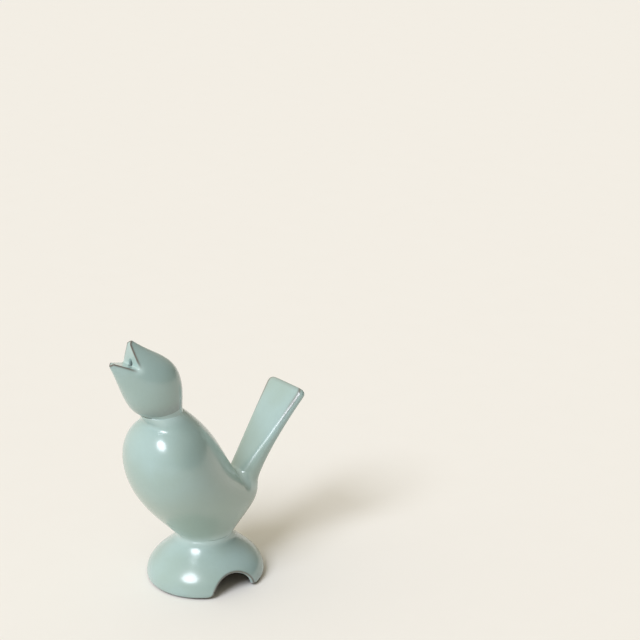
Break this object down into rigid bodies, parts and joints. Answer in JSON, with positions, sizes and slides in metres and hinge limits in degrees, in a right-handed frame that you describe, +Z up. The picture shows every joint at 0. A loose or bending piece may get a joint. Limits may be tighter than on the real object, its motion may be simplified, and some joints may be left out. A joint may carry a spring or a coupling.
{
  "type": "pie bird",
  "caption": "Hollow glazed stoneware pie vent shaped as a singing bird: domed foot with steam arches, egg-shaped body, raised paddle tail and an open beak that lets steam out through the crust",
  "frame": {"origin": "middle of the foot, on the surface that the bird stands on", "axes": "+Z up, -Y the way the bird looks, +X its left flank; the bird is symmetric about the plane X = 0"},
  "size_m": [0.0412, 0.0803, 0.1],
  "materials": {
    "celadon_glaze": "satin grey-green glaze on stoneware, thin and brown on the edges",
    "glazed_slip": "joining slip under pooled, slightly paler glaze"
  },
  "bodies": {
    "root": {"foot_dome": "celadon_glaze", "waist_slip": "glazed_slip", "body_shell": "celadon_glaze", "neck_slip": "glazed_slip", "head_shell": "celadon_glaze", "tail_slip": "glazed_slip", "tail": "celadon_glaze"}
  },
  "joints": []
}
